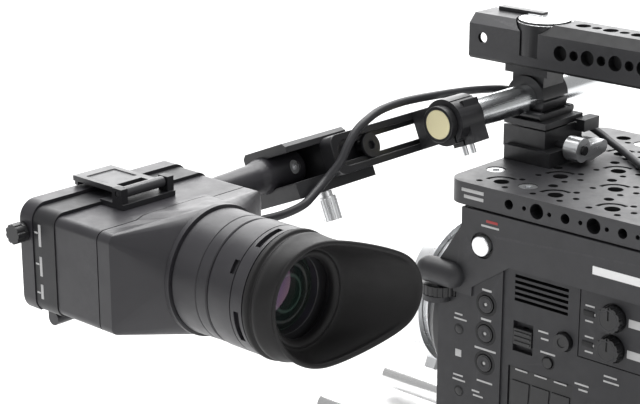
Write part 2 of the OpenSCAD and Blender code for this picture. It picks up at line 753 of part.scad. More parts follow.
// ---- Viewfinder display ----
module tilt_boss() {
    color("#2e2e32") difference() {
        x_turned(tilt_y, tilt_z, [[0, -220], [9, -220], [9, -217], [5.4, -215], [7.4, -172],
            [boss_r, -166], [boss_r, -143.5], [boss_r - 1.5, -142], [0, -142]]);
        translate([0, tilt_y, tilt_z]) rotate([-arm_lean, 0, 0])
            y_rod(3.55, [-10, -5], -150, 0);
    }
}
module tilt_screw() {
    color("#d9dadc") translate([0, tilt_y, tilt_z]) rotate([-arm_lean, 0, 0]) difference() {
        y_rod(3.5, [-8.1, -5], -150, 0);
        translate([-150, -8.2, 0]) rotate([-90, 0, 0]) cylinder(r = 1.7, h = 1.6, $fn = 6);
    }
}
module lcd_housing() {
    color("#3f3f43") difference() {
        union() {
            front_plate([lcd_front, lcd_back - 3]) translate([eye_x, eye_z]) rounded(lcd_w, lcd_h, 8);
            front_plate([lcd_back - 3.2, lcd_back]) translate([eye_x, eye_z])
                rounded(lcd_w - 6, lcd_h - 6, 7);
            // hinge knuckles under the lower edge, with their pin
            for (x = [[-301, -286], [-244, -229]]) {
                x_rod(knuckle_r, x, hinge_y, hinge_z);
                block(x, [hinge_y, hinge_y + knuckle_r], [hinge_z, eye_z - lcd_h / 2 + 1]);
            }
            x_rod(hinge_pin_r, [-300, -230], hinge_y, hinge_z);
        }
        block([eye_x - 41, eye_x + 41], [lcd_front - 1, 139.5], [eye_z - 21, eye_z + 21]);
        block([eye_x - 41, eye_x + 38], [139, 140.5], [eye_z - 17, eye_z + 17]);
        x_rod(1.5 + run, [eye_x - lcd_w / 2 - 1, eye_x - 40], 138, 213);
        x_rod(3.5, [eye_x + 40, eye_x + lcd_w / 2 + 1], 137, 186);
        block([eye_x - 47, eye_x - 37], [lcd_front - 1, lcd_back + 1], [170, 178]);
    }
}
module lcd_screen() {
    color("#1c2430") block([eye_x - 40.8, eye_x + 40.8], [133.4, 135], [eye_z - 20.8, eye_z + 20.8]);
}
module evf_dial() {
    color("#19191b") difference() {
        union() {
            x_rod(4.4, [-316, -310.4], 138, 213);
            x_rod(1.5, [-311, -305], 138, 213);
            x_rod(2.3, [-305.8, -304.5], 138, 213);
        }
        for (a = [0:40:320]) x_rod(0.7, [-317, -312], 138 + 4.6 * cos(a), 213 + 4.6 * sin(a));
    }
}
module evf_plug() {
    color("#202023") x_turned(137, 186, [[0, -223], [3.4, -223], [3.4, -220], [5.2, -220],
        [5.2, -209], [4, -207], [2.6, -198], [0, -198]]);
}

// ---- Loupe ----
module loupe_frame() {
    color("#18181a") difference() {
        union() {
            front_plate([frame_front, lcd_front - loose]) translate([eye_x, eye_z])
                rounded(lcd_w - 1, lcd_h - 3, 6);
            x_rod(knuckle_r, [-285.7, -244.3], hinge_y, hinge_z);
            block([-285.7, -244.3], [hinge_y - knuckle_r, hinge_y - 0.4],
                [hinge_z, eye_z - lcd_h / 2 + 4]);
            // tongue over the hood, with the ears that carry the latch's pivot
            block(about(latch_x, 15), [latch_y - 4, frame_front + 1],
                [eye_z + hood_h / 2 + 0.1, eye_z + hood_h / 2 + 2.4]);
            for (s = [-1, 1]) block(about(latch_x + s * 13.2, 1.8), about(latch_y, 3),
                [eye_z + hood_h / 2 + 1, latch_z + 2.4]);
        }
        block([eye_x - 40, eye_x + 40], [frame_front - 1, lcd_front + 1], [eye_z - 19, eye_z + 19]);
        x_rod(hinge_pin_r + run, [-287, -243], hinge_y, hinge_z);
        x_rod(1.2 + run, about(latch_x, 16), latch_y, latch_z);
    }
}
module slab(w, h, r, y) {
    front_plate([y, y + 1]) translate([eye_x, eye_z]) hull() for (sx = [-1, 1], sz = [-1, 1])
        translate([sx * (w / 2 - r), sz * (h / 2 - r)]) circle(r = r, $fn = hull_fn);
}
module loupe_hood() {
    color("#4a4a4e") difference() {
        union() {
            front_plate([hood_face, frame_front]) translate([eye_x, eye_z])
                rounded(hood_w, hood_h, 4);
            hull() {
                slab(hood_w, hood_h, 4, hood_face - 0.5);
                y_rod(28.2, [barrel_back, barrel_back + 1], eye_x, eye_z, $fn = hull_fn);
            }
            hull() {
                slab(66, 40, 6, 106);
                y_rod(28.2, [barrel_back, barrel_back + 1], eye_x, eye_z, $fn = hull_fn);
            }
        }
        hull() {
            slab(78, 38, 4, frame_front);
            y_rod(23, [barrel_back - 1, barrel_back], eye_x, eye_z, $fn = hull_fn);
        }
        // shallow seam round the box
        difference() {
            block([-320, -210], [90.7, 91.3], [170, 240]);
            front_plate([90, 92]) translate([eye_x, eye_z]) rounded(hood_w - 0.8, hood_h - 0.8, 4);
            hull() {
                slab(65, 39.4, 6, 106);
                y_rod(27.8, [barrel_back, barrel_back + 1], eye_x, eye_z, $fn = hull_fn);
            }
        }
    }
}
module latch_clip() {
    w = latch_w / 2;
    color("#2a2a2d") difference() {
        union() {
            x_rod(2.4, about(latch_x, w), latch_y, latch_z);
            block(about(latch_x, w), [latch_y, 141.6], about(latch_z - 0.4, 1.2));
            block(about(latch_x, w), [138.2, 140.4], [eye_z + lcd_h / 2 + 0.3, latch_z]);
            x_rod(1.2, about(latch_x, 14.6), latch_y, latch_z);
        }
        // window of the buckle and the thumb recess behind it
        block(about(latch_x, w - 4), [112.5, 117], [latch_z - 3, latch_z + 3]);
        block(about(latch_x, w - 3), [121, 136], [latch_z + 0.3, latch_z + 3]);
    }
}
module loupe_barrel() {
    color("#47474b") y_turned(eye_x, eye_z, [
        [cell_r + run, spigot_front], [spigot_r, spigot_front], [spigot_r, ring_back],
        [barrel_r - 0.6, ring_back], [barrel_r, ring_back + 0.6], [barrel_r, seam_y - 0.4],
        [barrel_r - 0.5, seam_y], [barrel_r, seam_y + 0.4], [barrel_r + 0.4, 64.6],
        [barrel_r - 0.2, 64.8], [barrel_r - 0.2, 65.5], [28.5, 65.6], [28.5, barrel_back],
        [cell_r + run, barrel_back]]);
}
module diopter_ring() {
    color("#3a3a3e") difference() {
        y_turned(eye_x, eye_z, [[spigot_r + run, ring_front], [barrel_r + 0.3, ring_front],
            [barrel_r + 0.3, 31.2], [barrel_r - 0.4, 31.5], [barrel_r + 0.3, 31.8],
            [barrel_r + 0.3, 43.5], [barrel_r - 0.5, ring_back - 0.3],
            [spigot_r + run, ring_back - 0.3]]);
        // four long grip slots and a notch
        for (a = [2:90:272]) front_plate([26.6, 29.4]) translate([eye_x, eye_z])
            intersection() {
                difference() {
                    circle(r = 28);
                    circle(r = 25.2);
                }
                polygon(concat([[0, 0]], [for (b = [0:10:30]) 32 * [cos(a + b), sin(a + b)]]));
            }
        translate([eye_x, 0, eye_z]) rotate([0, -145, 0]) block([25.5, 28], [31.8, 34.5], [-3, 3]);
    }
}
module lens_cell() {
    color("#161618") y_turned(eye_x, eye_z, [[16.5, cell_front], [cell_r, cell_front],
        [cell_r, cell_front + 19], [15.5, cell_front + 19], [15.5, cell_front + 17],
        [16.5, cell_front + 17]]);
}
module eye_lenses() {
    // two convex lenses, each between two shallow caps
    r = 16.4;
    bulge = 2.6;
    color("#a8c0c8") for (y = [[25, 32.4], [33, 40.4]]) y_turned(eye_x, eye_z, concat(
        [for (i = [0:6]) [r * i / 6, y[0] + bulge * pow(i / 6, 2)]],
        [for (i = [6:-1:0]) [r * i / 6, y[1] - bulge * pow(i / 6, 2)]]));
}
// A slanted oval of the eyecup's rim: wide towards the wing, grown by g
module rim_oval(g, lift) {
    translate([eye_x, lift, eye_z]) rotate([0, 0, -21]) rotate([90, 0, 0]) linear_extrude(0.8)
        hull() {
            scale([1, 1.16]) circle(r = 22.4 + g, $fn = hull_fn);
            translate([30, 0]) scale([1, 1.2]) circle(r = 14 + g, $fn = hull_fn);
        }
}
module eyecup() {
    color("#131315") difference() {
        union() {
            y_rod(27.5, [17, ring_front - loose], eye_x, eye_z);
            hull() {
                y_rod(27, [17, 18], eye_x, eye_z, $fn = hull_fn);
                rim_oval(1.6, 7);
            }
        }
        y_rod(spigot_r + run, [spigot_front - loose, ring_front + 1], eye_x, eye_z);
        y_rod(cup_hole_r, [-30, 40], eye_x, eye_z);
        hull() {
            y_rod(18, [14, 15], eye_x, eye_z, $fn = hull_fn);
            rim_oval(-0.2, 5.2);
        }
    }
}

// ---- Cable ----
// Direction of the route at point i, from its neighbours
function tangent(p, i) = let (a = p[max(i - 1, 0)], b = p[min(i + 1, len(p) - 1)])
    (b - a) / norm(b - a);
// Ring of points round the route at point i
function ring(p, i, t) = let (side = cross(t, [0, 0, 1]), u = side / norm(side), v = cross(u, t))
    [for (k = [0:cable_sides - 1]) let (a = 360 * k / cable_sides)
        p[i] + cable_d / 2 * (cos(a) * u + sin(a) * v)];
// One tube along part of the whole route, so that neighbouring tubes meet face to face
module tube(first, last) {
    n = last - first;
    rings = [for (i = [first:last]) each ring(route, i, tangent(route, i))];
    faces = concat(
        [[for (k = [0:cable_sides - 1]) k]],
        [[for (k = [cable_sides - 1:-1:0]) n * cable_sides + k]],
        [for (i = [0:n - 1], k = [0:cable_sides - 1])
            [i * cable_sides + k, (i + 1) * cable_sides + k,
                (i + 1) * cable_sides + (k + 1) % cable_sides,
                i * cable_sides + (k + 1) % cable_sides]]);
    color("#2b2b2e") polyhedron(rings, faces, 4);
}
function tail(p) = [for (i = [1:len(p) - 1]) p[i]];
route = concat(route_evf, tail(route_slider), tail(route_arm), tail(route_rod),
    tail(route_camera));
join_slider = len(route_evf) - 1;
join_arm = join_slider + len(route_slider) - 1;
join_rod = join_arm + len(route_arm) - 1;
join_camera = join_rod + len(route_rod) - 1;
module cable_evf() { tube(0, join_slider); }
module cable_slider() { tube(join_slider, join_arm); }
module cable_arm() { tube(join_arm, join_rod); }
module cable_rod() { tube(join_rod, join_camera); }
module cable_camera() { tube(join_camera, len(route) - 1); }

base_plate();
base_rods();
chassis();
left_cover();
rear_panel();
mount_block();
mount_flange();
locking_ring();
sensor_module();
filter_turret();
filter_glasses();
main_board();
fan_rotor();
top_plate();
cap_screws();
clamp_block();
lock_lever();
riser();
handle();
handle_cap();
rec_button();
assign_button(0);  // assign_button_1
assign_button(1);  // assign_button_2
assign_button(2);  // assign_button_3
menu_button();
jog_dial();
toggle_switch();
level_knob(knob_a_at);  // level_knob_a
level_knob(knob_b_at);  // level_knob_b
nd_dial();
key_strip();
camera_plug();
cross_rod();
rod_cap();
cap_disc();
rod_clamp();
arm_plate();
clamp_screws();
slider_block();
slider_bolt();
thumb_screw();
tilt_boss();
tilt_screw();
lcd_housing();
lcd_screen();
evf_dial();
evf_plug();
loupe_frame();
loupe_hood();
latch_clip();
loupe_barrel();
diopter_ring();
lens_cell();
eye_lenses();
eyecup();
cable_evf();
cable_slider();
cable_arm();
cable_rod();
cable_camera();
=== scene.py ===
"""Looks of the cinema camera rig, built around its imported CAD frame. Lengths are metres."""
import json
import math

import bmesh
import bpy
from mathutils import Matrix, Vector

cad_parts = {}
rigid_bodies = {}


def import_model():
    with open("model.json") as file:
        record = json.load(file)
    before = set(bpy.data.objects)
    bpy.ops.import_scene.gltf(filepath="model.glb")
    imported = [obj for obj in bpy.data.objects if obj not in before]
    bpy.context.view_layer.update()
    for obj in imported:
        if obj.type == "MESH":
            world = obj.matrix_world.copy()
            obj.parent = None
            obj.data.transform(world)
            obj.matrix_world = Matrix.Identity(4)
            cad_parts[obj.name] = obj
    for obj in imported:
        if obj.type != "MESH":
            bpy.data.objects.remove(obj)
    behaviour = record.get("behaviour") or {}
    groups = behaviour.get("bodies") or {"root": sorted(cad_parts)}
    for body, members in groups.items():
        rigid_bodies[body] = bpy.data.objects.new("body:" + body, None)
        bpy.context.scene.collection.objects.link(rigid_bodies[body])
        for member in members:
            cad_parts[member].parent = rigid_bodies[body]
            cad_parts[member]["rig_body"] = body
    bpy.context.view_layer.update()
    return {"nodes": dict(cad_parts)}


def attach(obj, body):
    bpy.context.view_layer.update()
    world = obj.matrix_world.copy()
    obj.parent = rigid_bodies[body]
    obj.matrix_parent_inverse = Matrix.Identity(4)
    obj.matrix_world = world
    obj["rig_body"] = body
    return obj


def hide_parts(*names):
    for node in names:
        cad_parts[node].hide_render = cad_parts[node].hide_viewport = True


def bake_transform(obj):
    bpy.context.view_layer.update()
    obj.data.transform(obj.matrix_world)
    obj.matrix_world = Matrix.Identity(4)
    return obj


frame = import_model()
nodes = frame["nodes"]
MM = 0.001

# ---- Camera ----
CAM_AT = Vector((-0.741, -0.430, 0.450))
CAM_RIGHT = Vector((0.6769, -0.7361, 0.0)).normalized()
CAM_FORWARD = Vector((0.7013, 0.6449, -0.3040)).normalized()
LENS_MM = 97.8


def add_camera():
    data = bpy.data.cameras.new("camera")
    data.lens = LENS_MM
    data.sensor_width = 36.0
    data.clip_start = 0.01
    cam = bpy.data.objects.new("camera", data)
    bpy.context.scene.collection.objects.link(cam)
    up = CAM_RIGHT.cross(CAM_FORWARD)
    turn = Matrix((CAM_RIGHT, up, -CAM_FORWARD)).transposed()
    cam.matrix_world = Matrix.Translation(CAM_AT) @ turn.to_4x4()
    bpy.context.scene.camera = cam


# ---- Materials ----
def tree_of(name):
    mat = bpy.data.materials.new(name)
    mat.use_nodes = True
    nt = mat.node_tree
    shader = nt.nodes["Principled BSDF"]
    return mat, nt, shader


def new_node(nt, kind, **inputs):
    n = nt.nodes.new(kind)
    for key, value in inputs.items():
        n.inputs[key].default_value = value
    return n


def noise(nt, scale, detail=3.0, rough=0.5):
    coord = nt.nodes.get("Texture Coordinate") or nt.nodes.new("ShaderNodeTexCoord")
    n = new_node(nt, "ShaderNodeTexNoise", Scale=scale, Detail=detail, Roughness=rough)
    nt.links.new(coord.outputs["Object"], n.inputs["Vector"])
    return n


def stretched_noise(nt, scale, stretch):
    """Noise drawn out along one axis, for brushed or turned metal."""
    coord = nt.nodes.get("Texture Coordinate") or nt.nodes.new("ShaderNodeTexCoord")
    mapping = nt.nodes.new("ShaderNodeMapping")
    mapping.inputs["Scale"].default_value = stretch
    nt.links.new(coord.outputs["Object"], mapping.inputs["Vector"])
    n = new_node(nt, "ShaderNodeTexNoise", Scale=scale, Detail=2.0, Roughness=0.5)
    nt.links.new(mapping.outputs["Vector"], n.inputs["Vector"])
    return n


def ramp(nt, source, stops):
    """Colour ramp from a float output. stops are (place, colour or grey)."""
    r = nt.nodes.new("ShaderNodeValToRGB")
    for i, (place, value) in enumerate(stops):
        e = r.color_ramp.elements[i] if i < 2 else r.color_ramp.elements.new(place)
        e.position = place
        e.color = (value, value, value, 1.0) if isinstance(value, float) else (*value, 1.0)
    nt.links.new(source, r.inputs["Fac"])
    return r


def shade(color, k):
    return tuple(min(1.0, c * k) for c in color)


def mix_colors(nt, fac, a, b):
    m = nt.nodes.new("ShaderNodeMix")
    m.data_type = "RGBA"
    nt.links.new(fac, m.inputs["Factor"])
    for socket, value in (("A", a), ("B", b)):
        target = [s for s in m.inputs if s.name == socket and s.type == "RGBA"][0]
        if isinstance(value, tuple):
            target.default_value = (*value, 1.0)
        else:
            nt.links.new(value, target)
    return [s for s in m.outputs if s.type == "RGBA"][0]


def surface(name, color, rough, metallic=0.0, blotch=0.05, rough_spread=0.05, grain=1800.0,
            bump=0.25, depth=0.00006, wear_and_highlight=None, wear_and_highlight_amount=0.5, brushed=None, specular=0.5,
            coat=0.0, coat_rough=0.2, sheen=0.0):
    """A finish with soft blotches of colour, uneven gloss, a fine grain, and convex edges lightened in
    patches, partly wear and partly painted highlight.
    """
    mat, nt, bsdf = tree_of(name)
    cloud = noise(nt, 22.0, 3.0, 0.5)
    tint = ramp(nt, cloud.outputs["Fac"], [
        (0.32, shade(color, 1.0 - blotch)), (0.68, shade(color, 1.0 + blotch))]).outputs["Color"]
    # painted highlight mixed with wear: convex edges lightened toward the given colour in noisy patches
    if wear_and_highlight is not None:
        geo = nt.nodes.new("ShaderNodeNewGeometry")
        edge = ramp(nt, geo.outputs["Pointiness"], [(0.53, 0.0), (0.64, float(wear_and_highlight_amount))])
        wear_and_highlight_noise = noise(nt, 420.0, 3.0, 0.7)
        wear_and_highlight_patch = ramp(nt, wear_and_highlight_noise.outputs["Fac"], [(0.38, 0.15), (0.62, 1.0)])
        both = nt.nodes.new("ShaderNodeMath")
        both.operation = "MULTIPLY"
        nt.links.new(edge.outputs["Color"], both.inputs[0])
        nt.links.new(wear_and_highlight_patch.outputs["Color"], both.inputs[1])
        tint = mix_colors(nt, both.outputs[0], tint, wear_and_highlight)
    nt.links.new(tint, bsdf.inputs["Base Color"])
    uneven = noise(nt, 160.0, 3.0, 0.6) if brushed is None else stretched_noise(nt, 300.0, brushed)
    gloss = ramp(nt, uneven.outputs["Fac"], [
        (0.3, float(max(0.03, rough - rough_spread))), (0.7, float(min(1.0, rough + rough_spread)))])
    nt.links.new(gloss.outputs["Color"], bsdf.inputs["Roughness"])
    fine = noise(nt, grain, 2.0, 0.5) if brushed is None else stretched_noise(nt, grain, brushed)
    height = new_node(nt, "ShaderNodeBump", Strength=bump, Distance=depth)
    nt.links.new(fine.outputs["Fac"], height.inputs["Height"])
    nt.links.new(height.outputs["Normal"], bsdf.inputs["Normal"])
    bsdf.inputs["Metallic"].default_value = metallic
    bsdf.inputs["Specular IOR Level"].default_value = specular
    bsdf.inputs["Coat Weight"].default_value = coat
    bsdf.inputs["Coat Roughness"].default_value = coat_rough
    bsdf.inputs["Sheen Weight"].default_value = sheen
    return mat


EYE = Vector((-0.265, 0.0, 0.201))  # on the loupe's optical axis
PAINTED_RINGS_R = 1 / 60  # radius at which the glass's painted reflection rings end


def lens_glass():
    """Coated glass: dark in depth, with rings of green-grey and pink reflection painted into its base
    colour.
    """
    mat, nt, bsdf = tree_of("coated_glass_painted_reflection")
    coord = nt.nodes.new("ShaderNodeTexCoord")
    mapping = nt.nodes.new("ShaderNodeMapping")
    mapping.inputs["Location"].default_value = (-EYE.x, 0.0, -EYE.z)
    flat = nt.nodes.new("ShaderNodeVectorMath")
    flat.operation = "MULTIPLY"
    flat.inputs[1].default_value = (1 / PAINTED_RINGS_R, 0.0, 1 / PAINTED_RINGS_R)
    away = nt.nodes.new("ShaderNodeVectorMath")
    away.operation = "LENGTH"
    nt.links.new(coord.outputs["Object"], mapping.inputs["Vector"])
    nt.links.new(mapping.outputs["Vector"], flat.inputs[0])
    nt.links.new(flat.outputs["Vector"], away.inputs[0])
    # painted reflection: green-grey, pink and pale rings in the base colour, by distance from the axis
    # the ramp's two ends come first, then the stops between them
    tint = ramp(nt, away.outputs["Value"], [
        (0.0, (0.012, 0.016, 0.015)), (1.0, (0.02, 0.02, 0.02)), (0.40, (0.016, 0.022, 0.020)),
        (0.46, (0.075, 0.085, 0.080)), (0.52, (0.018, 0.020, 0.020)),
        (0.68, (0.020, 0.020, 0.022)), (0.74, (0.135, 0.105, 0.115)), (0.80, (0.030, 0.028, 0.030)),
        (0.90, (0.020, 0.020, 0.022)), (0.95, (0.070, 0.070, 0.072))])
    nt.links.new(tint.outputs["Color"], bsdf.inputs["Base Color"])
    smear = ramp(nt, noise(nt, 240.0, 3.0).outputs["Fac"], [(0.3, 0.03), (0.7, 0.09)])
    nt.links.new(smear.outputs["Color"], bsdf.inputs["Roughness"])
    bsdf.inputs["IOR"].default_value = 1.7
    bsdf.inputs["Thin Film Thickness"].default_value = 330.0
    bsdf.inputs["Thin Film IOR"].default_value = 1.38
    bsdf.inputs["Coat Weight"].default_value = 0.6
    bsdf.inputs["Coat Roughness"].default_value = 0.02
    bsdf.inputs["Coat Tint"].default_value = (0.55, 0.95, 0.8, 1.0)
    return mat


def floor_material():
    mat, nt, bsdf = tree_of("floor_paper")
    cloud = noise(nt, 3.0, 2.0)
    tint = ramp(nt, cloud.outputs["Fac"], [(0.3, (0.74, 0.74, 0.74)), (0.7, (0.76, 0.76, 0.76))])
    nt.links.new(tint.outputs["Color"], bsdf.inputs["Base Color"])
    bsdf.inputs["Roughness"].default_value = 0.9
    bsdf.inputs["Specular IOR Level"].default_value = 0.1
    return mat


# light grey for the convex edges of the anodised parts: part wear, part painted highlight
SCUFF_AND_HIGHLIGHT = (0.20, 0.20, 0.21)
mats = {
    "anodised": surface("anodised_black", (0.014, 0.014, 0.016), 0.36, 0.2, grain=2600.0,
                        bump=0.2, wear_and_highlight=SCUFF_AND_HIGHLIGHT, wear_and_highlight_amount=0.16, specular=0.7),
    "anodised_top": surface("anodised_bead_blasted", (0.024, 0.024, 0.027), 0.42, 0.25,
                            grain=2300.0, bump=0.25, wear_and_highlight=SCUFF_AND_HIGHLIGHT, wear_and_highlight_amount=0.14, specular=0.8),
    "body": surface("painted_magnesium", (0.030, 0.030, 0.033), 0.50, grain=1500.0, bump=0.35,
                    depth=0.00008, wear_and_highlight=(0.13, 0.13, 0.14), wear_and_highlight_amount=0.12),
    "panel": surface("moulded_panel", (0.021, 0.021, 0.024), 0.52, grain=1500.0, bump=0.35,
                     depth=0.00008, wear_and_highlight=(0.1, 0.1, 0.11), wear_and_highlight_amount=0.12),
    "evf": surface("satin_polycarbonate", (0.023, 0.022, 0.026), 0.40, grain=1900.0, bump=0.25,
                   depth=0.00006, wear_and_highlight=(0.13, 0.13, 0.14), wear_and_highlight_amount=0.10, specular=0.55),
    "evf_dark": surface("dark_polycarbonate", (0.012, 0.012, 0.014), 0.45, grain=1900.0, bump=0.25,
                        wear_and_highlight=(0.08, 0.08, 0.09), wear_and_highlight_amount=0.10),
    "plastic": surface("black_plastic", (0.012, 0.012, 0.013), 0.36, grain=1700.0, bump=0.2,
                       wear_and_highlight=(0.08, 0.08, 0.09), wear_and_highlight_amount=0.12),
    "latch": surface("satin_latch", (0.035, 0.035, 0.038), 0.34, grain=1700.0, bump=0.2,
                     wear_and_highlight=(0.12, 0.12, 0.13), wear_and_highlight_amount=0.15, specular=0.6),
    "rubber": surface("moulded_rubber", (0.007, 0.0065, 0.007), 0.55, grain=1300.0, bump=0.4,
                      depth=0.00007, blotch=0.08, specular=0.35, sheen=0.03),
    "cable": surface("cable_sheath", (0.022, 0.022, 0.025), 0.45, grain=1100.0, bump=0.3,
                     blotch=0.08, specular=0.45),
    "silver": surface("satin_silver", (0.86, 0.87, 0.88), 0.30, 0.9, grain=900.0, bump=0.05,
                      blotch=0.02, rough_spread=0.04),
    "rod": surface("drawn_stainless_tube", (0.78, 0.80, 0.81), 0.24, 1.0, grain=700.0, bump=0.06,
                   blotch=0.02, brushed=(0.04, 1.0, 1.0)),
    "rod_y": surface("drawn_stainless_rail", (0.84, 0.84, 0.84), 0.26, 1.0, grain=700.0, bump=0.06,
                     blotch=0.02, brushed=(1.0, 0.04, 1.0)),
    "steel": surface("machined_steel", (0.72, 0.73, 0.74), 0.30, 1.0, grain=1400.0, bump=0.1,
                     blotch=0.04),
    "cream": surface("cream_enamel", (0.86, 0.79, 0.50), 0.35, grain=900.0, bump=0.06, blotch=0.03),
    "white": surface("printed_white", (0.50, 0.50, 0.50), 0.5, grain=1200.0, bump=0.1, blotch=0.06),
    "name": surface("printed_name", (0.85, 0.85, 0.85), 0.5, grain=1200.0, bump=0.1, blotch=0.03),
    "red": surface("printed_red", (0.36, 0.04, 0.04), 0.5, grain=1200.0, bump=0.1, blotch=0.08),
    "circuit": surface("green_circuit", (0.02, 0.15, 0.06), 0.4, grain=700.0, bump=0.5, blotch=0.3),
    "screen": surface("display_glass", (0.012, 0.015, 0.02), 0.12, grain=300.0, bump=0.03,
                      blotch=0.2, coat=0.6, coat_rough=0.05),
    "recess": surface("shadowed_recess", (0.004, 0.004, 0.005), 0.6, grain=1500.0, bump=0.2),
    "glass": lens_glass(),
}


# ---- Mesh helpers ----
EDGE_ANGLE = 32.0  # sharper edges than this are broken, in degrees
FLAT_ANGLE = 0.4  # triangles closer than this in angle are joined, in degrees
WELD = 0.002 * MM


def link(name, mesh, material, body=None, replaces=()):
    """A new piece from a mesh, with its finish, riding on a body and standing for CAD nodes."""
    obj = bpy.data.objects.new(name, mesh)
    bpy.context.scene.collection.objects.link(obj)
    obj.data.materials.append(mats[material])
    if body:
        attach(obj, body)
    if replaces:
        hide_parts(*replaces)
    return obj


def smooth_by_angle(mesh, degrees=38.0):
    mesh.shade_smooth()
    mesh.set_sharp_from_angle(angle=math.radians(degrees))


def body_of(node):
    return nodes[node]["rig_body"]


def clean_copy(node):
    """The node's shape as one welded mesh with its coplanar triangles joined."""
    bm = bmesh.new()
    bm.from_mesh(nodes[node].data)
    bmesh.ops.remove_doubles(bm, verts=bm.verts, dist=WELD)
    bmesh.ops.dissolve_limit(bm, angle_limit=math.radians(FLAT_ANGLE), verts=bm.verts,
                             edges=bm.edges, delimit=set())
    bm.verts.index_update()
    points = [v.co.copy() for v in bm.verts]
    faces = [[v.index for v in f.verts] for f in bm.faces]
    bm.free()
    mesh = bpy.data.meshes.new(node)
    mesh.from_pydata(points, [], faces)
    mesh.update()
    return mesh


def applied(obj):
    """Applies the object's modifiers to its mesh."""
    bpy.context.view_layer.update()
    deps = bpy.context.evaluated_depsgraph_get()
    mesh = bpy.data.meshes.new_from_object(obj.evaluated_get(deps))
    obj.modifiers.clear()
    old = obj.data
    obj.data = mesh
    bpy.data.meshes.remove(old)


def remake(node, material, bevel=0.3, segments=2, also=()):
    """A CAD node's shape with its edges broken, as a new piece that replaces the node."""
    obj = bpy.data.objects.new(node + "_shape", clean_copy(node))
    bpy.context.scene.collection.objects.link(obj)
    if bevel:
        cut = obj.modifiers.new("edge", "BEVEL")
        cut.width = bevel * MM
        cut.segments = segments
        cut.limit_method = "ANGLE"
        cut.angle_limit = math.radians(EDGE_ANGLE)
        cut.use_clamp_overlap = True
        cut.miter_outer = "MITER_ARC"
        applied(obj)
    smooth_by_angle(obj.data)
    weigh = obj.modifiers.new("normals", "WEIGHTED_NORMAL")
    weigh.keep_sharp = True
    obj.data.materials.clear()
    for key in (material, *also):
        obj.data.materials.append(mats[key])
    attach(obj, body_of(node))
    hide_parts(node)
    return obj


def paint(obj, index, test):
    """Gives material slot index to the faces that test(centre, normal) picks."""
    for f in obj.data.polygons:
        if test(f.center / MM, f.normal):
            f.material_index = index


def ring_mesh(name, rings, wrap=False):
    """A tube through rings of equal size. wrap joins the last to the first; if not, both ends close."""
    n = len(rings[0])
    points = [p for r in rings for p in r]
    faces = []
    last = len(rings) if wrap else len(rings) - 1
    for i in range(last):
        a, b = i * n, ((i + 1) % len(rings)) * n
        faces += [[a + k, a + (k + 1) % n, b + (k + 1) % n, b + k] for k in range(n)]
    if not wrap:
        faces.append(list(range(n))[::-1])
        faces.append([(len(rings) - 1) * n + k for k in range(n)])
    mesh = bpy.data.meshes.new(name)
    mesh.from_pydata(points, [], faces)
    bm = bmesh.new()
    bm.from_mesh(mesh)
    bmesh.ops.recalc_face_normals(bm, faces=bm.faces)
    bm.to_mesh(mesh)
    bm.free()
    return mesh


# ---- Eyecup ----
CUP_SIDES = 96
CUP_LEAN = math.radians(-21)
RIM_Y = 6.2  # Y of the rim's plane on the optical axis, in mm
OVAL_R, OVAL_TALL = 22.0, 1.16  # the rim's large oval: half width in mm, height over width
WING_OUT, WING_R, WING_TALL = 30.0, 13.6, 1.2  # the small oval in its wing, and how far out it is
HULL_PULL = 0.55  # a higher value draws the outline closer round the two ovals


def oval_point(theta, grow):
    """Point of the rim's outline, in its own plane: a soft hull of two ovals."""
    def support(t):
        large = (OVAL_R + grow) * math.hypot(math.cos(t), OVAL_TALL * math.sin(t))
        small = (WING_R + grow) * math.hypot(math.cos(t), WING_TALL * math.sin(t))
        small += WING_OUT * math.cos(t)
        top = max(large, small)
        rest = math.exp(HULL_PULL * (large - top)) + math.exp(HULL_PULL * (small - top))
        return top + math.log(rest) / HULL_PULL
    step = 1e-4
    h = support(theta)
    slope = (support(theta + step) - support(theta - step)) / (2 * step)
    return (h * math.cos(theta) - slope * math.sin(theta),
            h * math.sin(theta) + slope * math.cos(theta))


def cup_ring(share, radius, y, grow=0.0, dip=0.0):
    """A ring between a circle of that radius at height y (share 0) and the rim oval (share 1)."""
    ring = []
    for k in range(CUP_SIDES):
        t = 2 * math.pi * k / CUP_SIDES
        u, v = oval_point(t, grow)
        rim = Vector((u * math.cos(CUP_LEAN), RIM_Y + dip + u * math.sin(CUP_LEAN), v))
        base = Vector((radius * math.cos(t), y, radius * math.sin(t)))
        p = base.lerp(rim, share)
        ring.append((EYE.x + p.x * MM, p.y * MM, EYE.z + p.z * MM))
    return ring


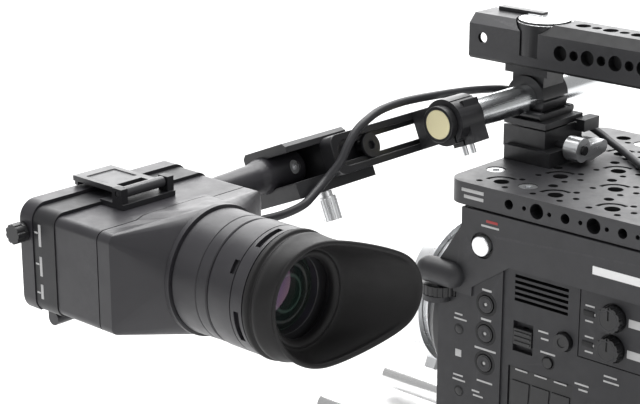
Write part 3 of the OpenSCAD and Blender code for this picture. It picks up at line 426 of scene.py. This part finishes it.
def eyecup():
    """Collar, bellows groove, flared skirt, rolled rim, bowl and the step round the eye hole."""
    profile = [
        # share, circle radius, y, grow, dip
        (0.0, 23.56, 24.6), (0.0, 27.0, 24.6), (0.0, 27.6, 24.1), (0.0, 27.6, 22.4),
        (0.0, 27.2, 21.9), (0.0, 26.0, 21.5), (0.0, 25.9, 20.6), (0.0, 26.6, 20.0),
        (0.0, 27.0, 19.2), (0.0, 26.9, 18.0), (0.05, 26.5, 17.2), (0.15, 26.2, 16.4),
        (0.35, 26.0, 15.0), (0.60, 26.0, 13.0), (0.80, 25.8, 10.5), (0.93, 25.4, 8.4, 0.4),
        (0.985, 25.0, 7.0, 1.0), (1.0, 25.0, 6.0, 1.4), (1.0, 25.0, 6.0, 1.3, -0.9),
        (1.0, 25.0, 6.0, 0.7, -1.5), (1.0, 25.0, 6.0, 0.0, -1.5), (1.0, 24.0, 6.0, -0.6, -0.9),
        (0.97, 23.6, 7.5, -0.8), (0.85, 23.0, 9.8), (0.65, 22.6, 12.0), (0.42, 22.2, 13.4),
        (0.2, 21.8, 14.4), (0.05, 21.4, 15.1), (0.0, 20.9, 15.4), (0.0, 20.3, 15.2),
        (0.0, 19.7, 14.7), (0.0, 18.9, 14.7), (0.0, 18.0, 15.2), (0.0, 17.4, 15.9),
        (0.0, 17.1, 16.8), (0.0, 17.1, 18.8), (0.0, 17.4, 19.2), (0.0, 23.2, 19.4),
        (0.0, 23.56, 19.8)]
    rings = []
    for row in profile:
        share, radius, y = row[:3]
        grow = row[3] if len(row) > 3 else 0.0
        dip = row[4] if len(row) > 4 else 0.0
        rings.append(cup_ring(share, radius, y, grow, dip))
    obj = link("eyecup_skirt", ring_mesh("eyecup", rings, wrap=True), "rubber", "eyecup", ["eyecup"])
    smooth_by_angle(obj.data, 70.0)
    fair = obj.modifiers.new("fair", "SUBSURF")
    fair.levels = 1
    fair.render_levels = 1


# ---- Lenses ----
LENS_SPANS = ((25.0, 32.4), (33.0, 40.4))  # each lens's two poles along Y, in mm


def turned_y(name, profile, center_x, center_z, sides=96):
    """A solid turned about the lens direction. profile is a closed outline of (radius, y) in mm."""
    rings = []
    for radius, y in profile:
        r = max(radius, 0.001)
        rings.append([(center_x + r * MM * math.cos(2 * math.pi * k / sides), y * MM,
                       center_z + r * MM * math.sin(2 * math.pi * k / sides)) for k in range(sides)])
    return ring_mesh(name, rings)


def eye_glass():
    """The loupe's two lenses, each between two shallow round caps."""
    for i, (near, far) in enumerate(LENS_SPANS):
        r, bulge, steps = 16.3, 2.6, 14
        outline = [(r * k / steps, near + bulge * (k / steps) ** 2) for k in range(steps + 1)]
        outline += [(r * k / steps, far - bulge * (k / steps) ** 2) for k in range(steps, -1, -1)]
        obj = link(f"eye_lens_{i + 1}", turned_y("lens", outline, EYE.x, EYE.z), "glass", "lens_cell",
                   ["eye_lenses"])
        smooth_by_angle(obj.data, 50.0)


# ---- Cable ----
CABLE_R = 2.1 * MM
ROUTE_EVF = [(-198, 137, 186), (-192, 136, 186), (-186, 131, 187), (-180, 124, 189.5),
             (-173, 116, 192.5), (-165, 110.5, 196.5), (-157, 110, 201), (-149, 110, 206)]
ROUTE_SLIDER = [(-149, 110, 206), (-142, 107.5, 213.5), (-137, 107, 221), (-131, 107, 227)]
ROUTE_ARM = [(-131, 107, 227), (-124, 106.5, 231), (-115, 107, 233.5), (-104, 108, 234.2),
             (-92, 109, 234), (-78, 110, 233), (-62, 111, 231.5)]
ROUTE_ROD = [(-62, 111, 231.5), (-50, 111.5, 230.3), (-36, 112, 228.7), (-20, 112, 226.5),
             (-6, 112, 224)]
ROUTE_CAMERA = [(-6, 112, 224), (6, 111.5, 220.5), (17, 106, 215), (25, 96, 209.3),
                (29, 84, 203.9), (30.3, 74, 199.6), (29.5, 65.5, 196), (26, 56, 194),
                (21, 48, 193.4), (15, 40, 193.3), (8, 31, 193.3), (1, 21, 193.3), (-5, 10, 193.3),
                (-9, -3, 193.3), (-12, -18, 193.3), (-14, -34, 193.3), (-16, -50, 193.3),
                (-17.5, -67, 193.3), (-19, -84, 193.3), (-20, -100.5, 193.3)]


def curve_through(points, index, t):
    """Catmull-Rom point between points[index] and points[index + 1]."""
    p = [points[min(max(index + k, 0), len(points) - 1)] for k in (-1, 0, 1, 2)]
    return 0.5 * ((2 * p[1]) + (p[2] - p[0]) * t + (2 * p[0] - 5 * p[1] + 4 * p[2] - p[3]) * t * t
                  + (3 * p[1] - 3 * p[2] + p[3] - p[0]) * t ** 3)


def tube_along(centres, tangents, radius, sides=20):
    rings = []
    for c, t in zip(centres, tangents):
        side = t.cross(Vector((0, 0, 1))).normalized()
        up = side.cross(t).normalized()
        rings.append([c + radius * (math.cos(2 * math.pi * k / sides) * side
                                    + math.sin(2 * math.pi * k / sides) * up) for k in range(sides)])
    return rings


def cable():
    """One cable in five pieces: each of the first four spans the joint that it crosses and rides on no
    body; the last rides on the camera.
    """
    parts = [ROUTE_EVF, ROUTE_SLIDER, ROUTE_ARM, ROUTE_ROD, ROUTE_CAMERA]
    names = ["cable_evf", "cable_slider", "cable_arm", "cable_rod", "cable_camera"]
    bends = [("evf", "slider"), ("slider", "arm"), ("arm", "cross"), ("cross", "camera")]
    whole = [Vector(parts[0][0]) * MM]
    starts = []
    for part in parts:
        starts.append(len(whole) - 1)
        whole += [Vector(p) * MM for p in part[1:]]
    steps = 6
    for which, part in enumerate(parts):
        first, count = starts[which], len(part) - 1
        stops = [(first + i // steps, (i % steps) / steps) for i in range(count * steps)]
        stops.append((first + count - 1, 1.0))
        centres = [curve_through(whole, i, t) for i, t in stops]
        small = 0.02
        tangents = [(curve_through(whole, i, t + small) - curve_through(whole, i, t - small)).normalized()
                    for i, t in stops]
        mesh = ring_mesh(names[which], tube_along(centres, tangents, CABLE_R))
        smooth_by_angle(mesh, 60.0)
        if which < len(bends):
            obj = link(names[which] + "_flex", mesh, "cable", None, [names[which]])
            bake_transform(obj)
        else:
            link(names[which] + "_run", mesh, "cable", "camera", [names[which]])


# ---- Printed marks and small trim ----
FRAME_SIDE = -309.5  # X of the loupe frame's left side


def add_box(bm, low, high, corner=0.0):
    """A box given by its corners in mm, with its edges broken by corner mm."""
    made = bmesh.ops.create_cube(bm, size=1.0)["verts"]
    for v in made:
        v.co = Vector([(low[i] + (high[i] - low[i]) * (v.co[i] + 0.5)) * MM for i in range(3)])
    if corner:
        edges = {e for v in made for e in v.link_edges}
        bmesh.ops.bevel(bm, geom=list(edges), offset=corner * MM, segments=2, affect="EDGES",
                        profile=0.5, clamp_overlap=True)


def marks(name, boxes, material, body, corner=0.05):
    bm = bmesh.new()
    for low, high in boxes:
        add_box(bm, low, high, corner)
    mesh = bpy.data.meshes.new(name)
    bm.to_mesh(mesh)
    bm.free()
    smooth_by_angle(mesh)
    return link(name, mesh, material, body)


def side_mark(y, z, half_w, half_h, face, lift=0.12):
    """A bar printed on a face that looks left, at X = face."""
    return ((face - lift, y - half_w, z - half_h), (face + 0.2, y + half_w, z + half_h))


def disc_x(name, x, y, z, radius, material, body, inner=0.0, sides=48, dome=0.0):
    """A thin disc or ring (inner > 0) that faces left, between x[0] and x[1], with soft edges."""
    edge = 0.12
    if inner:
        outline = [(inner, x[1]), (inner, x[0] + edge), (inner + edge, x[0]), (radius - edge, x[0]),
                   (radius, x[0] + edge), (radius, x[1])]
    else:
        outline = [(0.01, x[0] - dome), (radius * 0.6, x[0] - dome * 0.7),
                   (radius - edge, x[0]), (radius, x[0] + edge), (radius, x[1]), (0.01, x[1])]
    rings = []
    for r, at in outline:
        rings.append([(at * MM, (y + r * math.cos(2 * math.pi * k / sides)) * MM,
                       (z + r * math.sin(2 * math.pi * k / sides)) * MM) for k in range(sides)])
    mesh = ring_mesh(name, rings, wrap=bool(inner))
    smooth_by_angle(mesh, 30.0)
    return link(name, mesh, material, body)


# ---- Camera body ----
# X of the left side's faces: the cover, its raised strip, its sunken panel and the cheese plate
COVER, STRIP, PANEL, PLATE_SIDE = -70.0, -69.0, -68.0, -69.0
ASSIGN_Y, ASSIGN_Z = 72.0, (128.6, 112.5, 96.0)
KNOB_Y, KNOB_Z = -4.0, (141.0, 125.0)


def camera_body():
    remake("base_plate", "anodised", 0.6)
    remake("base_rods", "rod_y", 0.5, also=("recess",))
    remake("chassis", "body", 0.8)
    cover = remake("left_cover", "body", 0.32, also=("panel", "recess"))
    paint(cover, 1, lambda c, n: c.x > PANEL - 1.3 and not (c.y > 82 and c.z > 128))
    paint(cover, 2, lambda c, n: 22.4 < c.y < 55.2 and 134.5 < c.z < 149.6 and c.x > PANEL + 0.3)
    paint(cover, 2, lambda c, n: math.hypot(c.y - 75, c.z - 160) < 7.3 and c.x > COVER + 0.2)
    for z in KNOB_Z:
        paint(cover, 2, lambda c, n: math.hypot(c.y - KNOB_Y, c.z - z) < 7.6 and c.x > PANEL + 0.2)
    remake("rear_panel", "panel", 0.6)
    remake("mount_block", "anodised", 0.4)
    remake("mount_flange", "steel", 0.25)
    remake("locking_ring", "silver", 0.5)
    plate = remake("top_plate", "anodised_top", 0.5, also=("recess",))
    paint(plate, 1, lambda c, n: abs(n.z) < 0.4 and abs(c.x) < 66 and abs(c.y) < 97 and c.z < 190.3)
    remake("cap_screws", "steel", 0.25)
    remake("camera_plug", "plastic", 0.3)
    for node, finish in (("sensor_module", "circuit"), ("main_board", "circuit"),
                         ("fan_rotor", "plastic"), ("filter_turret", "plastic"),
                         ("filter_glasses", "glass")):
        remake(node, finish, 0.0)


def controls():
    remake("rec_button", "silver", 0.5, segments=3)
    y = ASSIGN_Y
    for i, z in enumerate(ASSIGN_Z):
        body = f"assign_{i + 1}"
        remake(f"assign_button_{i + 1}", "plastic", 0.3, segments=3)
        disc_x(f"assign_ring_{i + 1}", (STRIP - 0.12, STRIP + 0.3), y, z, 6.6, "recess", "camera", 5.1)
        disc_x(f"assign_rim_{i + 1}", (STRIP - 0.85, STRIP - 0.5), y, z, 3.9, "panel", body, 1.6)
        disc_x(f"assign_dot_{i + 1}", (STRIP - 0.55, STRIP - 0.2), y, z, 0.9, "white", body, dome=0.15)
    remake("menu_button", "plastic", 0.3, segments=3)
    disc_x("menu_ring", (PANEL - 0.1, PANEL + 0.3), 33, 107, 3.9, "recess", "camera", 3.15)
    remake("jog_dial", "plastic", 0.3)
    remake("toggle_switch", "plastic", 0.2)
    remake("level_knob_a", "plastic", 0.3)
    remake("level_knob_b", "plastic", 0.3)
    for letter, z in zip("ab", KNOB_Z):
        disc_x(f"level_face_{letter}", (PANEL - 5.12, PANEL - 4.8), KNOB_Y, z, 5.4, "panel",
               f"level_{letter}", 4.7)
    remake("nd_dial", "plastic", 0.25)
    remake("key_strip", "plastic", 0.25)
    for i, (y, z) in enumerate(((90, 109.8), (89, 75))):
        disc_x(f"membrane_key_{i + 1}", (PANEL - 0.25, PANEL + 0.3), y, z, 2.3, "plastic", "camera",
               dome=0.25)
        disc_x(f"membrane_ring_{i + 1}", (PANEL - 0.08, PANEL + 0.3), y, z, 3.1, "recess", "camera", 2.4)


def printed_marks():
    """Blank bars where the controls are labelled: no lettering."""
    bars = [
        # y, z, half width, half height, face
        (70.3, 170.9, 6.2, 0.75, COVER),
        (71.8, 136.2, 3.4, 0.8, STRIP), (71.8, 120.1, 3.6, 0.8, STRIP), (71.8, 103.5, 7.6, 0.75, STRIP),
        (71.6, 85.4, 5.6, 0.7, STRIP), (77.2, 78.6, 2.8, 0.65, STRIP), (75.6, 76.2, 3.6, 0.65, STRIP),
        (90.4, 118.2, 2.8, 0.65, PANEL), (89.2, 115.6, 4.6, 0.65, PANEL),
        (89.8, 83.8, 3.6, 0.65, PANEL), (89.2, 81.2, 4.6, 0.65, PANEL),
        (36.6, 122.6, 3.4, 0.65, PANEL), (35.6, 119.0, 2.6, 0.65, PANEL), (33.4, 111.9, 5.0, 0.7, PANEL),
        (49.2, 97.9, 4.2, 0.55, PANEL), (37.2, 97.9, 4.2, 0.55, PANEL), (25.2, 97.9, 4.2, 0.55, PANEL),
        (12.4, 101.0, 4.6, 0.65, PANEL), (11.4, 98.2, 3.0, 0.65, PANEL),
        (-4.0, 109.8, 4.2, 0.65, PANEL), (-4.6, 107.0, 5.0, 0.65, PANEL),
        (9.7, 143.6, 3.0, 0.6, PANEL), (9.8, 135.6, 2.6, 0.6, PANEL),
        (9.4, 127.4, 2.8, 0.6, PANEL), (9.2, 119.6, 2.6, 0.6, PANEL)]
    boxes = [side_mark(y, z, 0.9 * w, 0.72 * h, face) for y, z, w, h, face in bars]
    boxes.append(side_mark(90.0, 96.4, 2.0, 2.0, PANEL))
    for z in (139.6, 123.5):
        boxes.append(side_mark(7.0, z, 0.6, 0.6, PANEL))
    for z in (140.6, 124.6):
        boxes.append(side_mark(-17.2, z, 4.6, 2.1, PANEL))
    marks("label_bars", boxes, "white", "camera")
    marks("record_bar", [side_mark(69.2, 173.6, 3.6, 0.7, COVER)], "red", "camera")
    marks("name_bar", [side_mark(-22.0, 163.4, 30.0, 2.1, COVER, 0.3)], "name", "camera", 0.1)
    plate_bars = [side_mark(82.8, 187.0, 7.0, 0.9, PLATE_SIDE),
                  side_mark(82.0, 183.6, 6.2, 0.9, PLATE_SIDE)]
    marks("plate_bars", plate_bars, "white", "camera")
    slides = [side_mark(10.2, z, 3.2, 1.5, PANEL, 0.5) for z in (139.6, 123.5)]
    marks("channel_switches", slides, "recess", "camera", 0.3)
    stripes = ((213.2, 4.9), (199.4, 4.4), (188.0, 3.3))
    marks("viewfinder_bars", [side_mark(127.6, z, 0.8, h, FRAME_SIDE) for z, h in stripes], "white",
          "loupe")
    ticks = [side_mark(129.9, z, 1.1, 0.4, FRAME_SIDE) for z in (214.2, 200.2, 187.2)]
    marks("viewfinder_ticks", ticks, "white", "loupe")


# ---- Handle and clamp ----
DRUM_Y = 91.0  # the round lock drum on the handle


def handle_group():
    remake("clamp_block", "anodised", 0.5)
    remake("lock_lever", "silver", 0.4)
    remake("riser", "anodised", 0.5)
    bar = remake("handle", "anodised_top", 0.5, also=("recess",))
    paint(bar, 1, lambda c, n: 240.4 < c.z < 263.4 and abs(c.x) < 13.3 and -58 < c.y < 128
          and abs(c.y - DRUM_Y) > 15.5)
    drum = remake("handle_cap", "anodised", 0.3, segments=3, also=("silver",))
    paint(drum, 1, lambda c, n: 263.05 < c.z < 265.0 and n.z > 0.1
          and math.hypot(c.x, c.y - DRUM_Y) < 15)


# ---- Cross rod, arm and slider ----
def arm_group():
    remake("cross_rod", "rod", 0.5)
    remake("rod_cap", "plastic", 0.4, segments=3)
    remake("cap_disc", "cream", 0.3)
    remake("rod_clamp", "anodised", 0.4)
    remake("arm_plate", "anodised", 0.45, segments=3)
    remake("clamp_screws", "steel", 0.2)
    remake("slider_block", "anodised", 0.7, segments=3)
    remake("slider_bolt", "anodised", 0.3)
    remake("thumb_screw", "silver", 0.25)
    remake("tilt_boss", "evf", 0.4)
    remake("tilt_screw", "silver", 0.2)


# ---- Viewfinder ----
def viewfinder():
    remake("lcd_housing", "evf", 0.9, segments=3)
    remake("lcd_screen", "screen", 0.1)
    remake("evf_dial", "plastic", 0.2)
    remake("evf_plug", "plastic", 0.3)
    remake("loupe_frame", "evf_dark", 0.6, segments=3)
    remake("loupe_hood", "evf", 0.5, segments=3)
    remake("latch_clip", "latch", 0.35)
    remake("loupe_barrel", "evf", 0.15)
    remake("diopter_ring", "evf", 0.15)
    remake("lens_cell", "latch", 0.35, segments=3)


# ---- Studio ----
def studio():
    world = bpy.data.worlds.new("studio")
    bpy.context.scene.world = world
    world.use_nodes = True
    back = world.node_tree.nodes["Background"]
    back.inputs["Color"].default_value = (1.0, 1.0, 1.0, 1.0)
    back.inputs["Strength"].default_value = 0.42
    mesh = bpy.data.meshes.new("floor")
    bm = bmesh.new()
    bmesh.ops.create_grid(bm, x_segments=1, y_segments=1, size=8.0)
    bm.to_mesh(mesh)
    bm.free()
    floor = bpy.data.objects.new("floor", mesh)
    bpy.context.scene.collection.objects.link(floor)
    mesh.materials.append(floor_material())
    for name, at, aim, size, power in (
            ("back_softbox", (2.1, 1.9, 1.15), (-0.1, 0.0, 0.2), 2.6, 62.0),
            ("overhead", (0.3, 0.4, 2.0), (-0.1, 0.0, 0.15), 2.0, 75.0),
            ("left_fill", (-1.6, 0.5, 1.1), (-0.15, 0.05, 0.18), 0.9, 4.0),
            ("front_fill", (-0.4, -1.8, 1.0), (-0.1, 0.0, 0.18), 0.9, 3.0)):
        lamp = bpy.data.lights.new(name, "AREA")
        lamp.shape = "SQUARE"
        lamp.size = size
        lamp.energy = power
        obj = bpy.data.objects.new(name, lamp)
        bpy.context.scene.collection.objects.link(obj)
        obj.location = at
        obj.rotation_euler = (Vector(aim) - Vector(at)).to_track_quat("-Z", "Y").to_euler()
    bpy.context.scene.view_settings.view_transform = "Standard"


add_camera()
eyecup()
eye_glass()
cable()
camera_body()
controls()
printed_marks()
handle_group()
arm_group()
viewfinder()
studio()
